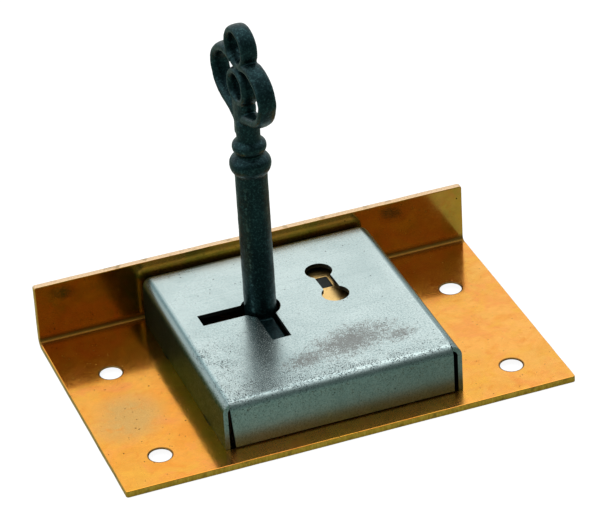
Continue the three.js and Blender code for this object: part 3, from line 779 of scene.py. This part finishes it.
def build_plate():
    """One sheet, pierced flat and then folded."""
    half = PLATE_LENGTH / 2
    outline = rectangle(-half, half, -PLATE_Y, flat_y(PLATE_T + FLANGE_RISE))
    outline = wavy(fillet(outline, 0.45), 0.05)
    plate = slab("back_plate_sheet", outline, plate_holes(), 0, PLATE_T, 0.15)
    # countersinks on the underside
    for x, y in SCREWS:
        sink = revolve("countersink", COUNTERSINK, 56)
        sink.data.transform(Matrix.Translation((x, y, 0)))
        boolean(plate, sink, "DIFFERENCE")
    fold_flange(plate)
    finish_piece(plate, "case", ["back_plate"], PLATE_BRASS)
    plate.data.materials.append(EDGE_BRASS)
    for face in plate.data.polygons:
        normal, c = face.normal, face.center / MM
        # the rolled faces stay dead flat right up to the pierced edges
        on_sheet = abs(normal.z) > 0.9999 and c.z < PLATE_T + 0.01
        on_flange = abs(normal.y) > 0.9999 and c.z > 2.2 and abs(c.y) > 20
        if on_sheet or on_flange:
            face.use_smooth = False
        # sheared outer edges and the walls of pierced holes take the duller material
        on_end = abs(normal.x) > 0.8
        on_front = abs(normal.y) > 0.8 and c.y < 0
        on_crown = abs(normal.z) > 0.8 and c.z > 3
        on_edge = (on_end or on_front or on_crown) and abs(c.z - PLATE_T) > 0.06
        in_hole = abs(normal.z) < 0.3 and c.z < PLATE_T and c.y < 22
        face.material_index = 1 if on_edge or in_hole else 0


# ---------------------------------------------------------------- cap
BOLTWAY_X, BOLTWAY_TOP = 7.3, 8.3
KEYHOLE_R, KEYHOLE_END_Y = 3.3, -5.4
BIT_SLOT = 3.25 / 2  # half width of the keyhole's front slot
SIDE_SLOT = 1.6  # half width of its slot to the left
SIGHT_R, SIGHT_NECK = 2.3, 1.4  # two round holes joined by a neck of this half width


def rounded_box(name, inset, corner_r, fold_r, z0, end_y):
    """The cap's inner or outer form; the side bends run on to end_y."""
    x, y0, y1, z1 = CAP_X - inset, CAP_FRONT + inset, CAP_BACK - inset, CAP_TOP - inset
    box = block(name, -x, x, y0 - 4, y1, z0, z1)
    bm = bmesh.new()
    bm.from_mesh(box.data)
    chosen = []
    for edge in bm.edges:
        a, b = (vert.co for vert in edge.verts)
        middle, direction = (a + b) / 2, (b - a).normalized()
        back_upright = abs(direction.z) > 0.9 and middle.y > 0
        if back_upright or (abs(middle.z - z1) < 1e-4 and middle.y > y0 - 3):
            chosen.append(edge)
    bmesh.ops.bevel(bm, geom=chosen, offset=corner_r, offset_type="OFFSET", segments=10,
                    profile=0.5, affect="EDGES", clamp_overlap=True)
    bm.to_mesh(box.data)
    bm.free()
    tidy(box)
    # side view (y, z) of the front flap, folded over its own radius
    fold = [(y0, z0 - 1), (y1 + 2, z0 - 1), (y1 + 2, z1 + 2), (y0 + fold_r + 2, z1 + 2)]
    fold += arc(y0 + fold_r, z1 - fold_r, fold_r, 90, 180, 12)
    # arc() gives its first point a rounding error; the flat top has to meet it exactly
    fold[4] = (y0 + fold_r, z1)
    keep = prism(name + "_t", fold, FLAP_LEFT, FLAP_RIGHT)
    keep.data.transform(Matrix(((0, 0, 1, 0), (1, 0, 0, 0), (0, 1, 0, 0), (0, 0, 0, 1))))
    for side_x0, side_x1 in ((-x - 2, FLAP_LEFT), (FLAP_RIGHT, x + 2)):
        side = block("side", side_x0, side_x1, end_y, y1 + 2, z0 - 1, z1 + 2)
        boolean(keep, side, "UNION")
    return boolean(box, keep, "INTERSECT")


def keyhole_outline():
    """A round hole with a slot to the left and a slot to the front."""
    side = math.degrees(math.asin(SIDE_SLOT / KEYHOLE_R))
    front = math.degrees(math.acos(BIT_SLOT / KEYHOLE_R))
    points = arc(KEY_X, KEY_Y, KEYHOLE_R, -front, 180 - side, 40)
    points += [(-15.45, KEY_Y + SIDE_SLOT), (-15.42, KEY_Y - SIDE_SLOT)]
    points += arc(KEY_X, KEY_Y, KEYHOLE_R, 180 + side, 180 + front, 12)
    return points + [(KEY_X - BIT_SLOT, KEYHOLE_END_Y), (KEY_X + BIT_SLOT, KEYHOLE_END_Y)]


def sight_outline():
    gap = math.degrees(math.asin(SIGHT_NECK / SIGHT_R))
    back = arc(7.4, 10.9, SIGHT_R, -90 + gap, 270 - gap, 36)
    return back + arc(7.5, 3.3, SIGHT_R, 90 + gap, 450 - gap, 36)


def build_cap():
    """Back and sides drawn in one, front flap folded down."""
    cap = rounded_box("cap_shell", 0, 1.85, 1.6, 1.2, CAP_FRONT + 0.30)
    inner = rounded_box("cap_inner", CAP_SHEET, 1.1, 0.85, 0.0, CAP_FRONT - 3)
    boolean(cap, inner, "DIFFERENCE")
    # the left end of the flap is snipped at a slant (x, z), and the flap stops above the plate
    slant = [(FLAP_LEFT - 0.05, 1.0), (FLAP_LEFT + 0.60, 1.0),
             (FLAP_LEFT + 0.02, 8.2), (FLAP_LEFT - 0.05, 8.2)]
    snip = prism("snip", slant, CAP_FRONT - 1, IN_FRONT + 0.05)
    snip.data.transform(Matrix(((1, 0, 0, 0), (0, 0, 1, 0), (0, 1, 0, 0), (0, 0, 0, 1))))
    boolean(cap, tidy(snip), "DIFFERENCE")
    gap = block("gap", FLAP_LEFT - 0.02, FLAP_RIGHT + 0.02, CAP_FRONT - 1, IN_FRONT + 0.05,
                0.5, 1.42)
    boolean(cap, gap, "DIFFERENCE")
    for side, y in LUGS:
        x0, x1 = sorted((side * CAP_X, side * IN_X))
        boolean(cap, block("lug", x0, x1, y - 1.5, y + 1.5, 0.03, 2.0), "UNION")
    boltway = block("boltway", -BOLTWAY_X, BOLTWAY_X, IN_BACK - 0.5, CAP_BACK + 1,
                    0, BOLTWAY_TOP)
    boolean(cap, boltway, "DIFFERENCE")
    for outline in (keyhole_outline(), sight_outline()):
        boolean(cap, prism("opening", outline, IN_TOP - 1, CAP_TOP + 1), "DIFFERENCE")
    bevelled(cap, 0.09, 2, 42)
    finish_piece(cap, "case", ["cap"], CAP_STEEL, 36)
    cap.data.materials.append(SCALE_STEEL)
    # mill scale left on the inside, in the pierced openings and on the flap's ends
    for face in cap.data.polygons:
        normal, c = face.normal, face.center / MM
        within = abs(c.x) < IN_X + 0.02
        inside = within and IN_FRONT - 0.02 < c.y < IN_BACK + 0.02 and c.z < IN_TOP + 0.02
        pierced = (c.z < CAP_TOP - 0.12 and abs(normal.z) < 0.4 and abs(c.x) < IN_X - 0.1
                   and IN_FRONT + 0.6 < c.y < IN_BACK - 0.1)
        ends = (within and abs(c.x) > FLAP_RIGHT - 0.4 and c.y < IN_FRONT
                and abs(normal.x) > 0.8)
        face.material_index = 1 if inside or pierced or ends else 0


# ---------------------------------------------------------------- pieces outlined by the CAD
def signed_area(loop):
    return sum(loop[i - 1][0] * loop[i][1] - loop[i][0] * loop[i - 1][1]
               for i in range(len(loop))) / 2


def loops_of(node):
    """Loops round a CAD node's top face, largest first, and its bottom and top heights."""
    bm = bmesh.new()
    bm.from_mesh(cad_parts[node].data)
    bmesh.ops.remove_doubles(bm, verts=bm.verts, dist=2e-6)
    z1 = max(v.co.z for v in bm.verts)
    z0 = min(v.co.z for v in bm.verts)
    top = [f for f in bm.faces if all(abs(v.co.z - z1) < 2e-6 for v in f.verts)]
    top_ids = {f.index for f in top}
    following = {}
    for face in top:
        for corner in face.loops:
            if sum(f.index in top_ids for f in corner.edge.link_faces) == 1:
                following[corner.vert.index] = corner.link_loop_next.vert.index
    places = {v.index: (v.co.x / MM, v.co.y / MM) for v in bm.verts}
    loops = []
    while following:
        at = next(iter(following))
        loop = []
        while at in following:
            loop.append(places[at])
            at = following.pop(at)
        loops.append(loop)
    bm.free()
    loops.sort(key=lambda loop: -abs(signed_area(loop)))
    return loops, z0 / MM, z1 / MM


def refined(node, body, material, bevel, corner=0.0):
    """A CAD prism with rounded edges; corner rounds the outline and the few-sided holes."""
    loops, z0, z1 = loops_of(node)
    if corner:
        loops = [fillet(loop, corner) if len(loop) < 40 or i == 0 else loop
                 for i, loop in enumerate(loops)]
    piece = slab(node + "_body", loops[0], loops[1:], z0, z1, bevel)
    finish_piece(piece, body, [node], material)


def build_works():
    refined("bolt", "bolt", BOLT_BRASS, bevel=0.12, corner=0.12)
    for i in range(1, 5):
        refined(f"lever_{i}", f"lever_{i}", LEVER_BRASS, bevel=0.06)
    refined("lever_base_washer", "case", POST_STEEL, bevel=0.05)
    for node in ("lever_pack_spacer", "bolt_rest_collar"):
        refined(node, "case", LEVER_BRASS, bevel=0.05)


def build_springs():
    """Thin strips rooted in the levers and resting on the cap's wall, cut across at many places
    along their length.
    """
    for i in range(1, 5):
        loops, z0, z1 = loops_of(f"lever_spring_{i}")
        spring = slab(f"lever_spring_{i}_strip", loops[0], [], z0, z1, 0.04, steps=1)
        for y in np.linspace(-11.5, 0.2, 24):
            cut_at_y(spring, float(y))
        dress(spring, [f"lever_spring_{i}"], SPRING_STEEL, 35, weighted=False)
        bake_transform(spring)


# ---------------------------------------------------------------- posts and stump
def build_posts():
    """Turned posts, each shouldered on the plate with a rounded head."""
    seat, crown_r = 1.12, 0.35
    for name, node, x, y, r, tenon, top in POSTS:
        profile = [(0, 0.02), (tenon - 0.12, 0.02), (tenon, 0.10), (tenon, seat),
                   (r - 0.08, seat), (r, seat + 0.08), (r, top - crown_r)]
        profile += [(r - crown_r + crown_r * math.cos(a), top - crown_r + crown_r * math.sin(a))
                    for a in (0.4, 0.8, 1.2, 1.5)]
        post = revolve(name, profile + [(0, top)], 48)
        post.data.transform(Matrix.Translation((x, y, 0)))
        finish_piece(post, "case", [node], POST_STEEL)


def build_stump():
    stump = block("stump_rivet", 6.4, 8.8, 8.0, 11.2, 5.12, 8.0)
    boolean(stump, block("shank", 6.5, 8.7, 8.9, 10.3, 1.35, 5.6), "UNION")
    bevelled(stump, 0.08, 2, 40)
    finish_piece(stump, "bolt", ["bolt_stump"], SCALE_STEEL)


# ---------------------------------------------------------------- key
# radius, height: hollow lower end, plain shank, two beads and the neck under the bow
SHANK = [
    (0, 13.2), (0.7, 13.0), (1.4, 12.6), (1.4, 1.45), (2.45, 1.45), (2.6, 1.52),
    (2.65, 1.7), (2.65, 12.0), (2.64, 22.0), (2.64, 34.6),
    (2.66, 35.30), (2.9, 35.48), (3.15, 35.85), (3.32, 36.3), (3.39, 36.85), (3.33, 37.4),
    (3.12, 37.85), (2.75, 38.2), (2.4, 38.4), (2.22, 38.65),
    (2.24, 38.9), (2.45, 39.1), (2.67, 39.45), (2.79, 39.85), (2.80, 40.2), (2.7, 40.55),
    (2.46, 40.85), (2.18, 41.05), (1.98, 41.2), (1.93, 41.6), (1.95, 43.0), (1.98, 44.3),
    (1.6, 44.9), (0, 45.3),
]
# steps of the bit: reach from the axis, bottom, top
BIT_STEPS = [(9.80, 1.45, 2.275), (9.357, 2.275, 3.175), (9.10, 3.175, 4.075),
             (9.543, 4.075, 4.98), (9.80, 4.98, 8.6)]
# one side loop of the bow: across, height, half width of the band
SIDE_LOOP = [
    (0.8, 43.6, 1.2), (2.6, 44.5, 0.95), (4.4, 45.1, 0.9), (6.2, 45.8, 0.88),
    (7.65, 47.15, 0.84), (8.45, 48.95, 0.72), (8.62, 50.3, 0.70), (7.95, 51.95, 0.76),
    (6.3, 53.4, 0.84), (4.4, 54.1, 0.84), (2.7, 54.0, 0.84), (1.6, 53.6, 0.84),
]
# web between the loops: height, half width, half thickness
WEB = [(41.0, 1.85, 1.75), (43.0, 1.95, 1.7), (44.6, 2.3, 1.62), (46.0, 2.6, 1.58),
       (47.1, 2.3, 1.5)]
BOW_ANGLE, BOW_SHIFT = math.radians(6), -0.8  # turn about Z, offset across the bow
LEAN, LEAN_Z = math.radians(2.5), 48  # lean in the bow's own plane, about this height


def lean(u, v):
    """Leans a bow point (across, height); heights are above the plate's upper face."""
    t = min(1.0, max(0.0, (v - 42.5) / 3))
    angle = -LEAN * t * t * (3 - 2 * t)
    rise = v - LEAN_Z
    return (u * math.cos(angle) - rise * math.sin(angle),
            LEAN_Z + u * math.sin(angle) + rise * math.cos(angle) + PLATE_T)


def sweep(name, path, widths, depths, closed=False, n=20, squareness=2.4):
    """A rounded band along a path; half widths lie in its plane, half depths through it."""
    m = len(path)
    verts, faces = [], []
    for i, (centre, width, depth) in enumerate(zip(path, widths, depths)):
        a = path[i - 1] if closed or i else centre
        b = path[(i + 1) % m] if closed or i < m - 1 else centre
        along = Vector((b[0] - a[0], b[1] - a[1])).normalized()
        for j in range(n):
            angle = 2 * math.pi * j / n
            c, s = math.cos(angle), math.sin(angle)
            c = math.copysign(abs(c) ** (2 / squareness), c) * width
            s = math.copysign(abs(s) ** (2 / squareness), s) * depth
            verts.append((centre[0] + along.y * c, centre[1] - along.x * c, s))
    for i in range(m if closed else m - 1):
        for j in range(n):
            k, l = (i + 1) % m, (j + 1) % n
            faces.append((i * n + j, i * n + l, k * n + l, k * n + j))
    if not closed:
        faces += [tuple(range(n)), tuple(reversed(range((m - 1) * n, m * n)))]
    return tidy(from_lists(name, verts, faces))


def catmull(points, n):
    """Smooth open curve through the points, n steps between each two."""
    curve, m = [], len(points)
    for i in range(m - 1):
        a, b, c, d = [Vector(points[min(max(i + k, 0), m - 1)]) for k in (-1, 0, 1, 2)]
        for j in range(n):
            t = j / n
            q = 0.5 * ((2 * b) + (c - a) * t + (2 * a - 5 * b + 4 * c - d) * t * t
                       + (3 * b - a - 3 * c + d) * t ** 3)
            curve.append((q.x, q.y))
    return curve + [tuple(points[-1])]


def bow_ring(name, u, v, radius, depth, n):
    angles = np.linspace(0, 2 * math.pi, n, endpoint=False)
    path = [lean(u + radius * math.cos(a), v + radius * math.sin(a)) for a in angles]
    return sweep(name, path, [0.68] * n, [depth] * n, closed=True)


def bow_parts():
    """Two rings, two side loops and a web, set upright over the shank."""
    parts = [bow_ring("ring", -0.25, 56.27, 3.0, 1.47, 48), bow_ring("mid", 0, 49.4, 2.65, 1.60, 40)]
    steps = 8
    half = catmull([(u, v) for u, v, _ in SIDE_LOOP], steps)
    band = [width for _, _, width in SIDE_LOOP]
    widths = [float(np.interp(i / steps, range(len(band)), band)) for i in range(len(half))]
    for side in (1, -1):
        path = [lean(u * side, v) for u, v in half]
        parts.append(sweep("loop", path, widths, [1.58] * len(path)))
    heights, web_widths, web_depths = zip(*WEB)
    parts.append(sweep("web", [lean(0, v) for v in heights], web_widths, web_depths))
    across = Vector((math.sin(BOW_ANGLE), -math.cos(BOW_ANGLE), 0))
    up = Vector((0, 0, 1))
    upright = Matrix((across, up, across.cross(up))).transposed().to_4x4()
    for part in parts:
        part.data.transform(Matrix.Translation((BOW_SHIFT, 0, 0)))
        part.data.transform(upright)
        tidy(part)
    return parts


def roughen(mesh):
    """File marks and sand grain of a casting above the bit, a few hundredths of a millimetre."""
    count = len(mesh.vertices)
    places, normals = np.empty(count * 3), np.empty(count * 3)
    mesh.vertices.foreach_get("co", places)
    mesh.vertex_normals.foreach_get("vector", normals)
    places, normals = places.reshape(-1, 3), normals.reshape(-1, 3)
    grain = np.array([
        noise.fractal(Vector(p) * 0.55, 0.9, 2.1, 4) * 0.030 + noise.noise(Vector(p) * 2.2) * 0.012
        if p[2] > 9.0 else 0.0 for p in places])
    places = places + normals * grain[:, None]
    mesh.vertices.foreach_set("co", places.ravel())
    mesh.update()


def build_key():
    """Shank, beads, bit and bow fused into one casting."""
    parts = [revolve("shank", SHANK, 72)]
    for reach, z0, z1 in BIT_STEPS:
        parts.append(block("bit", -1.2, 1.2, -reach, -2.0, z0 - 0.001, z1 + 0.001))
    parts += bow_parts()
    bm = bmesh.new()
    for part in parts:
        bm.from_mesh(part.data)
        bpy.data.objects.remove(part)
    mesh = bpy.data.meshes.new("key_casting")
    bm.to_mesh(mesh)
    bm.free()
    key = link(bpy.data.objects.new("key_casting", mesh))
    fuse = key.modifiers.new("fuse", "REMESH")
    fuse.mode = "VOXEL"
    fuse.voxel_size = 0.15
    fuse.adaptivity = 0.0
    soften = key.modifiers.new("soften", "SMOOTH")
    soften.factor = 0.5
    soften.iterations = 5
    flatten(key)
    roughen(key.data)
    key.data.transform(Matrix.Translation((KEY_X, KEY_Y, 0)))
    finish_piece(key, "key", ["key"], KEY_IRON, 180, weighted=False)


# ---------------------------------------------------------------- floor, light and camera (m)
def floor_material():
    """Pale to the camera; a dim green glow to other rays, nearly black under the plate as a painted
    shadow.
    """
    material = bpy.data.materials.new("pale_floor")
    tree = empty_tree(material)
    plate_reach = (1 / 0.0395, 1 / 0.0252, 0)  # brings a box just larger than the plate to 1
    place = mapped(signal(tree, "NewGeometry", out="Position"), stretch=plate_reach)
    x, y, _ = split(signal(tree, "VectorMath", {0: place}, operation="ABSOLUTE"))
    # painted shadow: the glow falls nearly to black under the plate
    under = fade(larger(x, y), span=(0.90, 1.0), values=((0.03, 0.035, 0.03), (0.32, 0.41, 0.34)))
    dull = signal(tree, "Emission", {0: under})
    diffuse = signal(tree, "BsdfDiffuse", {0: (0.22, 0.22, 0.22)})
    glow = signal(tree, "Emission", {0: (0.93, 0.93, 0.93)})
    seen = signal(tree, "AddShader", {0: diffuse, 1: glow})
    camera_ray = signal(tree, "LightPath", out="Is Camera Ray")
    surface = signal(tree, "MixShader", {0: camera_ray, 1: dull, 2: seen})
    add_node(tree, "OutputMaterial", {0: surface})
    return material


def build_floor():
    size, z = 3, -0.00002
    mesh = bpy.data.meshes.new("floor")
    corners = rectangle(-size, size, -size, size)
    mesh.from_pydata([(x, y, z) for x, y in corners], [], [(0, 1, 2, 3)])
    floor = link(bpy.data.objects.new("floor", mesh))
    mesh.materials.append(floor_material())


def build_world():
    """Bright sweep behind and above the object, dim room on the camera's side."""
    world = bpy.data.worlds.new("studio")
    scene.world = world
    tree = empty_tree(world)
    _, y, z = split(signal(tree, "TexCoord", out="Generated"))
    back = (y * 1.1 + (z * 0.55 + 0.52)).clamped()
    sweep_color = fade(back, span=(0.15, 0.95), interpolation="EASE",
                       values=((0.155, 0.185, 0.17), (0.98, 1.00, 1.00)))
    room = signal(tree, "Background", {0: sweep_color})
    backdrop = signal(tree, "Background", {0: (0.97, 0.97, 0.97)})
    camera_ray = signal(tree, "LightPath", out="Is Camera Ray")
    surface = signal(tree, "MixShader", {0: camera_ray, 1: room, 2: backdrop})
    add_node(tree, "OutputWorld", {0: surface})


def area_light(name, location, target, size, power):
    light = bpy.data.lights.new(name, "AREA")
    light.shape = "SQUARE"
    light.size = size
    light.energy = power
    ob = link(bpy.data.objects.new(name, light))
    ob.location = location
    aim = Vector(target) - Vector(location)
    ob.rotation_euler = aim.to_track_quat("-Z", "Y").to_euler()


def build_camera():
    data = bpy.data.cameras.new("camera")
    camera = link(bpy.data.objects.new("camera", data))
    data.sensor_fit = "HORIZONTAL"
    data.sensor_width = 36
    data.lens = 203.3360406
    data.clip_start = 0.01
    data.clip_end = 20
    right = Vector((0.93557, -0.34904, -0.05367)).normalized()
    forward = Vector((0.27052, 0.80605, -0.52641)).normalized()
    up = right.cross(forward).normalized()
    turn = Matrix((right, up, -forward)).transposed().to_4x4()
    camera.matrix_world = Matrix.Translation((-0.14497, -0.43174, 0.30293)) @ turn
    scene.camera = camera


build_plate()
build_cap()
build_works()
build_springs()
build_posts()
build_stump()
build_key()
build_floor()
build_world()
area_light("top_softbox", location=(0.10, 0.35, 0.75), target=(0, 0, 0), size=0.7, power=1.2)
area_light("left_fill", location=(-0.7, -0.1, 0.5), target=(0, 0, 0.02), size=0.4, power=0.5)
build_camera()
scene.view_settings.view_transform = "Standard"
scene.view_settings.look = "None"
scene.view_settings.exposure = 0.0
scene.view_settings.gamma = 1.0
